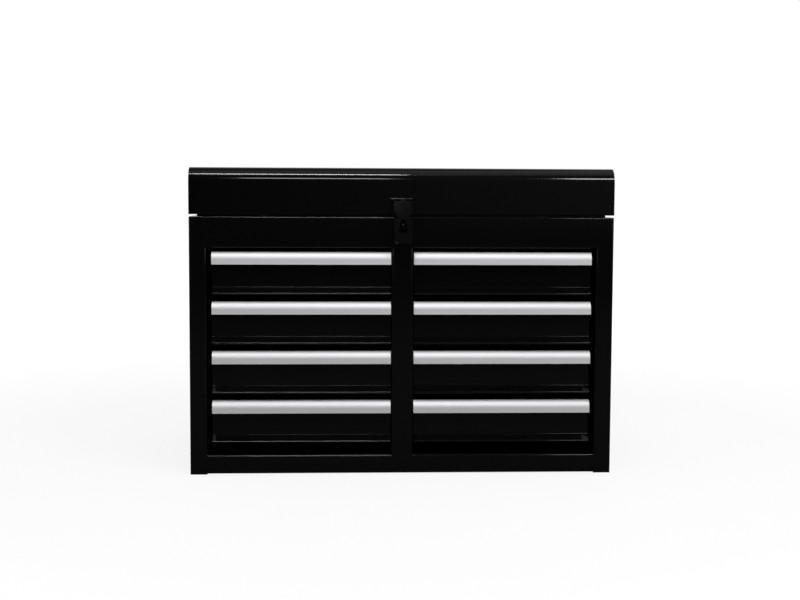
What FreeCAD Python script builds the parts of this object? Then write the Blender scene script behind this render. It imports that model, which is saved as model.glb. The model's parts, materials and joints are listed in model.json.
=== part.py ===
import FreeCAD, Part
import math
import os

from FreeCAD import Vector

# Sizes in millimetres. While the pieces are built, x runs across the chest from its middle,
# y runs back from the face of the front frame, and z runs up from the floor.

# The chest
WIDTH = 616.0
DEPTH = 330.0
BODY_HEIGHT = 376.0
LID_HEIGHT = 67.5
LID_GAP = 3.0
SHEET = 0.8
BEND = 1.2
SEAM = 0.1
MOVING_GAP = 0.3
PIVOT_CLEARANCE = 0.1

# The front frame
STILE_WIDTH = 25.0
POST_WIDTH = 31.0
HEADER_HEIGHT = 45.2
RAIL_HEIGHT = 26.8
RAIL_LIFT = 1.5
RETURN_DEPTH = 14.0
FRAME_BEND = 2.2
TAB_LENGTH = 12.0
TAB_MARGIN = 4.0

# The rim that the lid closes over
LEDGE = 11.0
UPSTAND = 12.0

# Flanges of the panels
SIDE_REAR_FLANGE = 14.0
SIDE_FOOT_FLANGE = 20.0
BACK_RETURN = 12.0
PAN_FLANGE = 12.0
FLOOR_FLANGE = 20.0

# The lid
BULLNOSE = 22.0
LID_REAR_BEND = 2.5
LID_FLANGE = 8.0
LID_END_FOLD = 6.0
BUMPER_LENGTH = 14.0
BUMPER_PLACE = 200.0
BUMPER_FRONT = 2.0
BUMPER_DEPTH = 6.0

# The two hinges
HINGE_WIDTH = 72.0
HINGE_PLACE = 195.0
HINGE_RADIUS = 2.6
HINGE_PIN_RADIUS = 1.2
HINGE_LEAF_SHEET = 1.0
HINGE_LEAF_HEIGHT = 20.0
HINGE_KNUCKLES = 3
KNUCKLE_GAP = 0.4

# The hasp
HASP_RISE = 22.0
HASP_RADIUS = 2.75
HASP_PIN_RADIUS = 1.2
HASP_SHEET = 1.5
HASP_BARREL_WIDTH = 28.0
HASP_STRAP_KNUCKLE = 8.0
HASP_PIN_HEAD = 3.3
HASP_LEAF_LENGTH = 17.0
STRAP_WIDTH = 26.2
STRAP_TILT = 16.0
STRAP_TO_TAB = 57.0
STRAP_TAB = 9.6
STRAP_TAB_ANGLE = 12.0
STRAP_CHAMFER = 4.0
SLOT_TOP = 29.5
SLOT_LENGTH = 22.0
SLOT_WIDTH = 13.0
SLOT_HEAD_WIDTH = 8.0
NOTCH_DROP = 25.4
NOTCH_RADIUS = 4.0
STAPLE_IN_SLOT = 8.9
STAPLE_SHEET = 2.5
STAPLE_HALF_ROOT = 9.0
PADLOCK_HOLE_RADIUS = 2.75
PADLOCK_MARGIN = 0.3
PADLOCK_WALL = 2.0
STAPLE_PLATE_WIDTH = 20.0
STAPLE_PLATE_HEIGHT = 24.0

# The folding stays
STAY_ARM = 80.0
STAY_WIDTH = 12.0
STAY_SHEET = 2.0
STAY_CLIP = 3.5
STAY_PIN_RADIUS = 3.0
STAY_PIN_PROUD = 1.2
STAY_SET_IN = 16.0
BODY_PIVOT_DROP = 35.0
LID_PIVOT_RISE = 52.0
LID_OPENING = 95.0
STOP_REACH = 12.0
STOP_LENGTH = 4.0
STOP_THICKNESS = 3.0

# The side handles
HANDLE_HEIGHT = 232.0
HANDLE_SHEET = 1.2
HANDLE_PLATE_LENGTH = 130.0
HANDLE_PLATE_ABOVE = 12.0
HANDLE_PLATE_BELOW = 18.0
HANDLE_CORNER = 5.0
EAR_RADIUS = 5.1
EAR_LENGTH = 10.0
EAR_PLACE = 45.0
BAIL_RADIUS = 3.5
BAIL_CLEARANCE = 2.0
BAIL_DROP = 40.0
BAIL_BEND = 8.0

# The drawer fronts
ROWS = 4
TOP_GAP = 5.9
ROW_GAP = 10.4
BOTTOM_GAP = 17.8
OUTER_GAP = 7.4
INNER_GAP = 1.3
RECESS = 10.0
LIP_SETBACK = 0.5
LIP_BEND = 0.7
CREASE_BEND = 1.0
FLARE_HEIGHT = 10.7
FRONT_RETURN = 12.0
FRONT_TOP_DROP = 2.0

# The aluminium pulls
PULL_HEIGHT = 17.9
PULL_PROUD = 3.0
PULL_WALL = 1.5
PULL_ROUND = 10.0

# The trays and their runners
TRAY_TOP_DROP = 8.0
TRAY_REAR_GAP = 18.0
FRAME_CLEARANCE = 1.5
RIM_WIDTH = 6.5
RIM_DROP = 5.0
RUNNER_LIP = 7.0
RUNNER_NOSE = 11.0
RUNNER_REAR_TAB = 12.0
DRAWER_TRAVEL = 210.0
STOP_NUB = 3.4
STOP_NUB_LENGTH = 2.0
STOP_NUB_HEIGHT = 4.0

# Places worked out from the sizes above
HALF = WIDTH / 2
LEDGE_INSIDE = HALF - LEDGE
OPENING_HALF = HALF - STILE_WIDTH
POST_HALF = POST_WIDTH / 2
OPENING_TOP = BODY_HEIGHT - HEADER_HEIGHT
OPENING_BOTTOM = RAIL_LIFT + RAIL_HEIGHT
BACK_INSIDE = DEPTH - SHEET
SIDE_REAR_INSIDE = BACK_INSIDE - SHEET
LID_LOW = BODY_HEIGHT + LID_GAP
LID_TOP = LID_LOW + LID_HEIGHT
HINGE_Y = DEPTH + HINGE_RADIUS
HINGE_Z = BODY_HEIGHT + LID_GAP / 2
HASP_Y = -HASP_RADIUS
HASP_AXIS_HEIGHT = LID_LOW + HASP_RISE
STAPLE_HEIGHT = HASP_AXIS_HEIGHT - SLOT_TOP - STAPLE_IN_SLOT
FRONT_HEIGHT = (OPENING_TOP - OPENING_BOTTOM - TOP_GAP - BOTTOM_GAP - (ROWS - 1) * ROW_GAP) / ROWS
ROW_PITCH = FRONT_HEIGHT + ROW_GAP
FRONT_LEFT = POST_HALF + INNER_GAP
FRONT_RIGHT = OPENING_HALF - OUTER_GAP
CHANNEL_WEB = SHEET + SHEET
STAPLE_HOLE_Y = HASP_Y - HASP_RADIUS - PADLOCK_MARGIN - PADLOCK_HOLE_RADIUS
STAPLE_NOSE = PADLOCK_HOLE_RADIUS + PADLOCK_WALL
EAR_X = HALF + EAR_RADIUS
BAIL_BORE = BAIL_RADIUS + PIVOT_CLEARANCE


def box(x0, x1, y0, y1, z0, z1):
    """Block between two corners given in any order."""
    low = Vector(min(x0, x1), min(y0, y1), min(z0, z1))
    return Part.makeBox(abs(x1 - x0), abs(y1 - y0), abs(z1 - z0), low)


def rod(start, end, radius):
    """Round bar between two points."""
    along = Vector(*end) - Vector(*start)
    return Part.makeCylinder(radius, along.Length, Vector(*start), along)


def joined(solids):
    """Solids of one piece fused, with coplanar faces merged."""
    first, *rest = solids
    whole = first.fuse(rest) if rest else first
    return whole.removeSplitter()


def group(solids):
    """Separate solids kept together as one sub-part."""
    return Part.makeCompound(solids)


def mirrored(shape):
    """The same piece on the other side of the chest's middle plane."""
    return shape.mirror(Vector(0, 0, 0), Vector(1, 0, 0))


def turned(shape, point, degrees):
    """Piece turned about an axis along x through a point (y, z)."""
    copy = shape.copy()
    copy.rotate(Vector(0, point[0], point[1]), Vector(1, 0, 0), degrees)
    return copy


def in_space(plane, level):
    """How a section's two coordinates are placed in space, at a level along the third axis."""
    return {
        "yz": lambda a, b: Vector(level, a, b),
        "xz": lambda a, b: Vector(a, level, b),
        "xy": lambda a, b: Vector(a, b, level),
    }[plane]


def along(plane, length):
    """Direction square to a section's plane, with a length."""
    return {"yz": Vector(length, 0, 0), "xz": Vector(0, length, 0), "xy": Vector(0, 0, length)}[plane]


def straight(start, end, place):
    """Line between two points of a section, or nothing where they meet."""
    first = place(start.x, start.y)
    last = place(end.x, end.y)
    return [] if first.isEqual(last, 1e-6) else [Part.makeLine(first, last)]


def fold_side(points, sheet, offset, place):
    """Edges of one side of a folded sheet: its drawn side, or that side moved to the left by an offset."""
    edges = []
    previous = None
    for index, point in enumerate(points):
        here = Vector(point[0], point[1], 0)
        arrive = leave = None
        if index > 0:
            arrive = (here - Vector(points[index - 1][0], points[index - 1][1], 0)).normalize()
        if index < len(points) - 1:
            leave = (Vector(points[index + 1][0], points[index + 1][1], 0) - here).normalize()
        if arrive is None or leave is None:
            heading = leave or arrive
            left = Vector(-heading.y, heading.x, 0)
            end = here + left * offset
            if previous is not None:
                edges += straight(previous, end, place)
            previous = end
            continue
        bend = point[2]
        if bend is None:
            square = Vector(-(arrive.y + leave.y), arrive.x + leave.x, 0)
            corner = here + square * (offset / (1 + arrive.dot(leave)))
            edges += straight(previous, corner, place)
            previous = corner
            continue
        turn = math.atan2(arrive.cross(leave).z, arrive.dot(leave))
        side = 1 if turn > 0 else -1
        radius = bend + sheet if turn > 0 else bend
        setback = radius * math.tan(abs(turn) / 2)
        left_in = Vector(-arrive.y, arrive.x, 0)
        left_out = Vector(-leave.y, leave.x, 0)
        start = here - arrive * setback + left_in * offset
        end = here + leave * setback + left_out * offset
        centre = here - arrive * setback + left_in * (side * radius)
        reach = radius - side * offset
        edges += straight(previous, start, place)
        if reach > 1e-6:
            middle = centre + (here - centre).normalize() * reach
            arc = Part.Arc(place(start.x, start.y), place(middle.x, middle.y), place(end.x, end.y))
            edges.append(arc.toShape())
        previous = end
    return edges


def folded(points, sheet, plane, low, high):
    """Folded sheet between two levels along the axis square to its section.

    points are (a, b, inside bend radius) along the sheet's outer side, with the metal on the left of travel.
    A radius of None is a bend too tight to show, and the first and last points have no radius.
    """
    place = in_space(plane, low)
    outer = fold_side(points, sheet, 0.0, place)
    inner = fold_side(points, sheet, sheet, place)
    caps = [
        Part.makeLine(outer[0].Vertexes[0].Point, inner[0].Vertexes[0].Point),
        Part.makeLine(outer[-1].Vertexes[-1].Point, inner[-1].Vertexes[-1].Point),
    ]
    face = Part.Face(Part.Wire(Part.__sortEdges__(outer + inner + caps)))
    return face.extrude(along(plane, high - low))


def plate(points, plane, low, high):
    """Flat plate with a straight sided outline."""
    place = in_space(plane, low)
    corners = [place(a, b) for a, b in points]
    return Part.Face(Part.makePolygon(corners + corners[:1])).extrude(along(plane, high - low))


def pan(x0, x1, y0, y1, z0, z1, open_side, rounded=()):
    """Folded box with one side open; edges between two of the rounded sides are bent, the others stay sharp."""
    sides = {"-x": x0, "+x": x1, "-y": y0, "+y": y1, "-z": z0, "+z": z1}
    inside = {name: level + (SHEET if name[0] == "-" else -SHEET) for name, level in sides.items()}
    inside[open_side] = sides[open_side] + (1 if open_side[0] == "+" else -1)

    def bent(block, levels, radius):
        def between(edge):
            middle = edge.CenterOfMass
            on = [name for name in rounded if abs(middle["xyz".index(name[1])] - levels[name]) < 1e-6]
            return len(on) == 2

        edges = [edge for edge in block.Edges if between(edge)]
        return block.makeFillet(radius, edges) if edges else block

    outer = box(*sides.values())
    hollow = box(*inside.values())
    return bent(outer, sides, BEND + SHEET).cut(bent(hollow, inside, BEND))


# The body's panels


def left_side():
    """Side panel with its stile, the return into the drawer opening, the ledge and the upstand."""
    panel = pan(-HALF, -OPENING_HALF, 0, BACK_INSIDE, 0, BODY_HEIGHT, "+x", ("-x", "-y", "+z"))
    past = -OPENING_HALF + 1
    trims = [
        # ledge, rear flange and foot flange cut to their widths
        box(-LEDGE_INSIDE + SHEET, past, LEDGE + SHEET, DEPTH, BODY_HEIGHT - SHEET, BODY_HEIGHT + 1),
        box(-HALF + SIDE_REAR_FLANGE, past, SIDE_REAR_INSIDE, DEPTH, -1, BODY_HEIGHT + 1),
        box(-HALF + SIDE_FOOT_FLANGE, past, SHEET, DEPTH, -1, SHEET),
        # edge of the stile where its return is folded
        box(-OPENING_HALF - FRAME_BEND - SHEET, past, -1, SHEET, OPENING_BOTTOM, OPENING_TOP),
    ]
    panel = panel.cut(trims)
    inner_edge = folded(
        [(-OPENING_HALF - FRAME_BEND - SHEET, 0), (-OPENING_HALF, 0, FRAME_BEND), (-OPENING_HALF, RETURN_DEPTH)],
        SHEET, "xy", OPENING_BOTTOM, OPENING_TOP,
    )
    low = BODY_HEIGHT - SHEET
    high = BODY_HEIGHT + UPSTAND
    upstand = [
        box(-LEDGE_INSIDE, -LEDGE_INSIDE + SHEET, LEDGE, DEPTH - LEDGE, low, high),
        box(-LEDGE_INSIDE, -OPENING_HALF, LEDGE, LEDGE + SHEET, low, high),
    ]
    return joined([panel, inner_edge] + upstand)


def back_panel():
    """Back sheet, folded forward at its top and bottom edges between the side panels' flanges."""
    front_edge = DEPTH - BACK_RETURN
    sheet = folded(
        [(front_edge, SHEET / 2), (DEPTH, SHEET / 2, None), (DEPTH, BODY_HEIGHT, BEND), (front_edge, BODY_HEIGHT)],
        SHEET, "yz", -HALF + SHEET / 2, HALF - SHEET / 2,
    )
    ends = HALF - SIDE_FOOT_FLANGE - SEAM
    notches = [box(side * ends, side * HALF, 0, BACK_INSIDE, -1, BODY_HEIGHT + 1) for side in (-1, 1)]
    return sheet.cut(notches)


def lipped_floor(low, flange):
    """Floor sheet between the side panels, with its four edges turned up."""
    wall = HALF - SHEET - SEAM
    front = SHEET + FRAME_BEND + SEAM
    return pan(-wall, wall, front, SIDE_REAR_INSIDE - SEAM, low, low + flange, "+z")


def bottom_pan():
    """Floor of the chest, on the bottom rail's lower return."""
    return lipped_floor(RAIL_LIFT + SHEET, PAN_FLANGE)


def compartment_floor():
    """Floor of the space under the lid, on the header's lower return."""
    return lipped_floor(OPENING_TOP + SHEET, FLOOR_FLANGE)


# The front frame between the two stiles


def stile_tabs(low, high):
    """Joggled ends of a cross member, behind the stiles."""
    inside = OPENING_HALF - SEAM
    return [
        box(side * (inside - TAB_LENGTH), side * (inside + TAB_LENGTH), SHEET, SHEET * 2,
            low + TAB_MARGIN, high - TAB_MARGIN)
        for side in (-1, 1)
    ]


def post_notch(member, edge, upward):
    """Cross member with its return cut away where the post meets it, and its face carried to the edge."""
    inward = RETURN_DEPTH + 1
    reach = FRAME_BEND + SHEET
    inner = edge + upward * reach
    cut = box(-POST_HALF - SEAM, POST_HALF + SEAM, -1, inward, edge - upward, inner)
    face = box(-POST_HALF - SEAM, POST_HALF + SEAM, 0, SHEET, edge, inner)
    return [member.cut(cut), face]


def front_header():
    """Panel above the drawers: upstand, ledge, face and lower return."""
    half = OPENING_HALF - SEAM
    member = folded(
        [
            (LEDGE, BODY_HEIGHT + UPSTAND),
            (LEDGE, BODY_HEIGHT, None),
            (0, BODY_HEIGHT, BEND),
            (0, OPENING_TOP, FRAME_BEND),
            (RETURN_DEPTH, OPENING_TOP),
        ],
        SHEET, "yz", -half, half,
    )
    return joined(post_notch(member, OPENING_TOP, 1) + stile_tabs(OPENING_TOP + SHEET, BODY_HEIGHT - SHEET))


def bottom_rail():
    """Channel under the drawers: upper return, face and lower return."""
    half = OPENING_HALF - SEAM
    member = folded(
        [
            (RETURN_DEPTH, OPENING_BOTTOM),
            (0, OPENING_BOTTOM, FRAME_BEND),
            (0, RAIL_LIFT, None),
            (RETURN_DEPTH, RAIL_LIFT),
        ],
        SHEET, "yz", -half, half,
    )
    return joined(post_notch(member, OPENING_BOTTOM, -1) + stile_tabs(RAIL_LIFT, OPENING_BOTTOM))


def centre_post():
    """Hat section between the drawer columns, with tabs behind the header and the rail."""
    low = OPENING_BOTTOM + SEAM
    high = OPENING_TOP - SEAM
    post = folded(
        [
            (-POST_HALF, RETURN_DEPTH),
            (-POST_HALF, 0, FRAME_BEND),
            (POST_HALF, 0, FRAME_BEND),
            (POST_HALF, RETURN_DEPTH),
        ],
        SHEET, "xy", low, high,
    )
    half = POST_HALF - FRAME_BEND - SHEET
    tab = box(-half, half, SHEET, SHEET * 2, low - TAB_LENGTH, high + TAB_LENGTH)
    between = box(-half, half, SHEET, SHEET * 2, low + TAB_LENGTH, high - TAB_LENGTH)
    return joined([post, tab.cut(between)])


# Drawer runners


def row_top(row):
    """Height of a row's pull, counted from 0 at the top row."""
    return OPENING_TOP - TOP_GAP - row * ROW_PITCH


def rim_top(row):
    """Top of the rolled rim of a row's tray."""
    return row_top(row) - TRAY_TOP_DROP


def runner(row, face, inward, seat, tab_way):
    """One runner: a channel open towards the tray, welded to a frame return and to the back.

    face is the x of the frame's return in the opening, inward is the way from it to the tray, seat is the y of the
    surface its rear tab is welded to, and tab_way is the side the tab turns to.
    """
    web = face - inward * CHANNEL_WEB
    inner_web = web + inward * SHEET
    lip = inner_web + inward * RUNNER_LIP
    top = rim_top(row) + MOVING_GAP + SHEET
    bottom = rim_top(row) - RIM_DROP - MOVING_GAP - SHEET
    points = [(lip, top), (web, top, None), (web, bottom, None), (lip, bottom)]
    if inward < 0:
        points.reverse()
    start = RETURN_DEPTH + MOVING_GAP
    channel = folded(points, SHEET, "xz", start, seat)
    nose = box(web, inner_web, start - RUNNER_NOSE, start, bottom, top)
    tab = box(web, web + tab_way * RUNNER_REAR_TAB, seat - SHEET, seat, bottom, top)
    rear_stop_y = tray_rear() + MOVING_GAP
    rear_stop = box(web, lip, rear_stop_y, rear_stop_y + SHEET, bottom, top)
    catch = box(inner_web, lip, start, start + STOP_NUB_LENGTH, bottom - STOP_NUB_HEIGHT, bottom + SHEET)
    return joined([channel, nose, tab, rear_stop, catch])


def outer_runners():
    """Left column's runners beside the side panel."""
    return group([runner(row, -OPENING_HALF, 1, SIDE_REAR_INSIDE, -1) for row in range(ROWS)])


def inner_runners():
    """Left column's runners behind the centre post."""
    return group([runner(row, -POST_HALF, -1, BACK_INSIDE, 1) for row in range(ROWS)])


# Drawers, built for the right hand column


def tray_rear():
    """Back of the trays."""
    return BACK_INSIDE - TRAY_REAR_GAP


def tray(row):
    """Steel tray with rolled rims that hang in the runners, and a stop nub on each side."""
    lip = row_top(row) - FRONT_HEIGHT
    top = rim_top(row)
    front = RECESS + SHEET
    rims = (POST_HALF + FRAME_CLEARANCE, OPENING_HALF - FRAME_CLEARANCE)
    walls = (rims[0] + RIM_WIDTH, rims[1] - RIM_WIDTH)
    solids = [pan(walls[0], walls[1], front, tray_rear(), lip + SHEET, top, "+z")]
    nub_top = top - RIM_DROP - MOVING_GAP - SHEET - MOVING_GAP
    nub_y = RETURN_DEPTH + MOVING_GAP + STOP_NUB_LENGTH + MOVING_GAP + DRAWER_TRAVEL
    for wall, edge, outward in ((walls[0], rims[0], -1), (walls[1], rims[1], 1)):
        points = [(wall - outward * SHEET, top), (edge, top, None), (edge, top - RIM_DROP)]
        if outward > 0:
            points.reverse()
        rim = folded(points, SHEET, "xz", front, tray_rear())
        nub = box(wall, wall + outward * STOP_NUB, nub_y, nub_y + STOP_NUB_LENGTH, nub_top - STOP_NUB_HEIGHT, nub_top)
        solids += [rim, nub]
    return joined(solids)


def lip_corner():
    """Where the flare's outer line would meet the lip's underside if the bend between them were sharp."""
    radius = LIP_BEND + SHEET
    reach = math.hypot(RECESS - LIP_SETBACK - radius, FLARE_HEIGHT - radius)
    down = math.atan2(FLARE_HEIGHT - radius, RECESS - LIP_SETBACK - radius)
    slope = down - math.asin(radius / reach)
    return RECESS - FLARE_HEIGHT / math.tan(slope)


def drawer_front(row):
    """Recessed face that flares forward to a bent lip, with closed ends and returns at top and bottom."""
    top = row_top(row)
    lip = top - FRONT_HEIGHT
    crease = lip + FLARE_HEIGHT
    sheet = folded(
        [
            (RECESS + FRONT_RETURN, top - FRONT_TOP_DROP),
            (RECESS, top - FRONT_TOP_DROP, None),
            (RECESS, crease, CREASE_BEND),
            (lip_corner(), lip, LIP_BEND),
            (RECESS + FRONT_RETURN, lip),
        ],
        SHEET, "yz", FRONT_LEFT, FRONT_RIGHT,
    )
    set_in = SHEET / 2
    start = RECESS / 2
    outline = [
        (RECESS + SHEET, crease),
        (RECESS + set_in, crease),
        (start, lip + FLARE_HEIGHT * (start - lip_corner()) / (RECESS - lip_corner()) - set_in),
        (start, lip + set_in),
        (RECESS + SHEET, lip + set_in),
    ]
    ends = [
        plate(outline, "yz", FRONT_LEFT, FRONT_LEFT + SHEET),
        plate(outline, "yz", FRONT_RIGHT - SHEET, FRONT_RIGHT),
    ]
    return joined([sheet] + ends)


def pull(row):
    """Extruded pull: a rear wall on the drawer's face, a flat top and a rounded front with an open underside."""
    top = row_top(row)
    return folded(
        [
            (RECESS, top - PULL_HEIGHT),
            (RECESS, top, None),
            (-PULL_PROUD, top, PULL_ROUND - PULL_WALL),
            (-PULL_PROUD, top - PULL_HEIGHT),
        ],
        PULL_WALL, "yz", FRONT_LEFT, FRONT_RIGHT,
    )


# The lid


def lid_outline():
    """Side view of the lid's wrap without its bottom flanges, from the rear edge over the top to the front."""
    return [
        (DEPTH, LID_LOW),
        (DEPTH, LID_TOP, LID_REAR_BEND),
        (0, LID_TOP, BULLNOSE - SHEET),
        (0, LID_LOW),
    ]


def lid_shell():
    """One sheet over back, top and rounded front, with flanges along its lower edges."""
    flanged = HALF - LID_FLANGE - SHEET
    outline = lid_outline()
    with_flanges = (
        [(DEPTH - LID_FLANGE, LID_LOW), (DEPTH, LID_LOW, None)]
        + outline[1:-1]
        + [(0, LID_LOW, BEND), (LID_FLANGE, LID_LOW)]
    )
    return joined([
        folded(outline, SHEET, "yz", -HALF, -flanged),
        folded(with_flanges, SHEET, "yz", -flanged, flanged),
        folded(outline, SHEET, "yz", flanged, HALF),
    ])


def left_lid_end():
    """End cap inside the wrap, turned inward along its lower edge."""
    inside = fold_side(lid_outline(), SHEET, SHEET, in_space("yz", -HALF))
    ends = [inside[0].Vertexes[0].Point, inside[-1].Vertexes[-1].Point]
    face = Part.Face(Part.Wire(Part.__sortEdges__(inside + [Part.makeLine(*ends)])))
    cap = face.extrude(along("yz", SHEET))
    low, high = LID_FLANGE + SEAM, DEPTH - LID_FLANGE - SEAM
    fold_top = LID_LOW + LID_END_FOLD
    cap = cap.cut(box(-HALF - 1, -HALF + 2, low, high, LID_LOW - 1, fold_top))
    flange = folded(
        [(-HALF, fold_top), (-HALF, LID_LOW, None), (-HALF + LID_FLANGE, LID_LOW)],
        SHEET, "xz", low, high,
    )
    return joined([cap, flange])


def lid_bumpers():
    """Rubber pads on the ledge that the lid comes down on."""
    pads = []
    for side in (-1, 1):
        middle = side * BUMPER_PLACE
        half = BUMPER_LENGTH / 2
        pads.append(box(middle - half, middle + half, BUMPER_FRONT, BUMPER_FRONT + BUMPER_DEPTH, BODY_HEIGHT, LID_LOW))
    return group(pads)


# The two hinges, each drawn in the middle and then moved to both places


def at_both_hinges(shape):
    """Copies of a hinge's piece at the two places along the back."""
    copies = []
    for side in (-1, 1):
        copy = shape.copy()
        copy.translate(Vector(side * HINGE_PLACE, 0, 0))
        copies.append(copy)
    return group(copies)


def hinge_leaves(upward, first):
    """Leaves on the back, upward 1 for the lid's and -1 for the body's, with every second knuckle from the first."""
    half = HINGE_WIDTH / 2
    pitch = HINGE_WIDTH / HINGE_KNUCKLES
    clear = upward * (HINGE_RADIUS + KNUCKLE_GAP)
    far = HINGE_Z + upward * HINGE_LEAF_HEIGHT
    solids = [box(-half, half, DEPTH, DEPTH + HINGE_LEAF_SHEET, HINGE_Z + clear, far)]
    for index in range(first, HINGE_KNUCKLES, 2):
        start = -half + index * pitch + (KNUCKLE_GAP if index else 0)
        end = -half + (index + 1) * pitch - (KNUCKLE_GAP if index < HINGE_KNUCKLES - 1 else 0)
        solids.append(rod((start, HINGE_Y, HINGE_Z), (end, HINGE_Y, HINGE_Z), HINGE_RADIUS))
        solids.append(box(start, end, DEPTH, DEPTH + HINGE_LEAF_SHEET, HINGE_Z, HINGE_Z + clear))
    bore = rod((-half - 1, HINGE_Y, HINGE_Z), (half + 1, HINGE_Y, HINGE_Z), HINGE_PIN_RADIUS + PIVOT_CLEARANCE)
    return at_both_hinges(joined(solids).cut(bore))


def hinge_pins():
    """Rods through the knuckles."""
    half = HINGE_WIDTH / 2
    return at_both_hinges(rod((-half, HINGE_Y, HINGE_Z), (half, HINGE_Y, HINGE_Z), HINGE_PIN_RADIUS))


# The hasp, drawn hanging straight down and then turned to where it hangs


def hasp_bore(reach):
    """Hole along the hasp's barrel."""
    return rod((-reach, HASP_Y, HASP_AXIS_HEIGHT), (reach, HASP_Y, HASP_AXIS_HEIGHT),
               HASP_PIN_RADIUS + PIVOT_CLEARANCE)


def hasp_leaf():
    """Leaf riveted to the lid behind the strap, with the barrel's two outer knuckles."""
    half = HASP_BARREL_WIDTH / 2
    inner = HASP_STRAP_KNUCKLE / 2 + KNUCKLE_GAP
    low = HASP_AXIS_HEIGHT - HASP_LEAF_LENGTH
    below = HASP_AXIS_HEIGHT - HASP_RADIUS - KNUCKLE_GAP
    solids = [box(-half, half, -HASP_SHEET, 0, low, below)]
    for side in (-1, 1):
        solids.append(rod((side * inner, HASP_Y, HASP_AXIS_HEIGHT), (side * half, HASP_Y, HASP_AXIS_HEIGHT), HASP_RADIUS))
        solids.append(box(side * inner, side * half, -HASP_SHEET, 0, below, HASP_AXIS_HEIGHT))
    return joined(solids).cut(hasp_bore(half + 1))


def hasp_pin():
    """Pin through the barrel, with its head at the left."""
    half = HASP_BARREL_WIDTH / 2
    shank = rod((-half, HASP_Y, HASP_AXIS_HEIGHT), (half, HASP_Y, HASP_AXIS_HEIGHT), HASP_PIN_RADIUS)
    head = rod((-half - HASP_PIN_HEAD, HASP_Y, HASP_AXIS_HEIGHT), (-half, HASP_Y, HASP_AXIS_HEIGHT),
               HASP_RADIUS - KNUCKLE_GAP / 2)
    return joined([shank, head])


def strap_blank():
    """Flat strap with its waist, slot and cut corners, in the plane it hangs in when it is straight down."""
    half = STRAP_WIDTH / 2
    outer = HASP_Y - HASP_RADIUS
    inner = outer + HASP_SHEET
    top = HASP_AXIS_HEIGHT - HASP_RADIUS - KNUCKLE_GAP
    knee = HASP_AXIS_HEIGHT - STRAP_TO_TAB
    blank = box(-half, half, outer, inner, knee, top)
    tab = plate(
        [
            (-half, knee),
            (half, knee),
            (half, knee - STRAP_TAB + STRAP_CHAMFER),
            (half - STRAP_CHAMFER, knee - STRAP_TAB),
            (-half + STRAP_CHAMFER, knee - STRAP_TAB),
            (-half, knee - STRAP_TAB + STRAP_CHAMFER),
        ],
        "xz", outer, inner,
    )
    tab = turned(tab, (inner, knee), -STRAP_TAB_ANGLE)
    knee_fill = rod((-half, inner, knee), (half, inner, knee), HASP_SHEET)
    knee_fill = knee_fill.common(box(-half, half, outer - HASP_SHEET, inner, knee - HASP_SHEET, knee))
    slot_low = HASP_AXIS_HEIGHT - SLOT_TOP - SLOT_LENGTH
    wide = SLOT_WIDTH / 2
    narrow = SLOT_HEAD_WIDTH / 2
    slot_high = HASP_AXIS_HEIGHT - SLOT_TOP
    slot = plate(
        [
            (-wide, slot_low + wide),
            (wide, slot_low + wide),
            (narrow, slot_high - narrow),
            (-narrow, slot_high - narrow),
        ],
        "xz", outer - 1, inner + 1,
    )
    rounds = [
        rod((0, outer - 1, slot_low + wide), (0, inner + 1, slot_low + wide), wide),
        rod((0, outer - 1, slot_high - narrow), (0, inner + 1, slot_high - narrow), narrow),
    ]
    waist_z = HASP_AXIS_HEIGHT - NOTCH_DROP
    waist = [rod((side * half, outer - 1, waist_z), (side * half, inner + 1, waist_z), NOTCH_RADIUS) for side in (-1, 1)]
    return joined([blank, tab, knee_fill]).cut([slot] + rounds + waist)


def hasp_strap():
    """Slotted strap with its knuckle, hanging turned out from the body by its tilt."""
    half = HASP_STRAP_KNUCKLE / 2
    outer = HASP_Y - HASP_RADIUS
    neck = box(-half, half, outer, outer + HASP_SHEET, HASP_AXIS_HEIGHT - HASP_RADIUS - KNUCKLE_GAP, HASP_AXIS_HEIGHT)
    eye = rod((-half, HASP_Y, HASP_AXIS_HEIGHT), (half, HASP_Y, HASP_AXIS_HEIGHT), HASP_RADIUS)
    hanging = joined([strap_blank(), neck, eye]).cut(hasp_bore(half + 1))
    return turned(hanging, (HASP_Y, HASP_AXIS_HEIGHT), -STRAP_TILT)


def hasp_staple():
    """Plate on the header with the rounded tongue that takes a padlock."""
    half = STAPLE_PLATE_WIDTH / 2
    foot = box(-half, half, -HASP_SHEET, 0, STAPLE_HEIGHT - STAPLE_PLATE_HEIGHT / 2,
               STAPLE_HEIGHT + STAPLE_PLATE_HEIGHT / 2)
    # the tongue's straight edges run from its root on the foot to touch the round nose
    root_y = -HASP_SHEET / 2
    reach = root_y - STAPLE_HOLE_Y
    slant = math.hypot(reach, STAPLE_HALF_ROOT)
    touch = math.atan2(STAPLE_HALF_ROOT, reach) + math.acos(STAPLE_NOSE / slant)
    nose = (STAPLE_HOLE_Y + STAPLE_NOSE * math.cos(touch), STAPLE_NOSE * math.sin(touch))
    edge = STAPLE_SHEET / 2
    tongue = plate(
        [
            (root_y, STAPLE_HEIGHT - STAPLE_HALF_ROOT),
            (root_y, STAPLE_HEIGHT + STAPLE_HALF_ROOT),
            (nose[0], STAPLE_HEIGHT + nose[1]),
            (nose[0], STAPLE_HEIGHT - nose[1]),
        ],
        "yz", -edge, edge,
    )
    centre = (STAPLE_HOLE_Y, STAPLE_HEIGHT)
    tip = rod((-edge, *centre), (edge, *centre), STAPLE_NOSE)
    hole = rod((-edge - 1, *centre), (edge + 1, *centre), PADLOCK_HOLE_RADIUS)
    return joined([foot, tongue, tip]).cut(hole)


# The folding stays at the left side, which the right side mirrors


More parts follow.
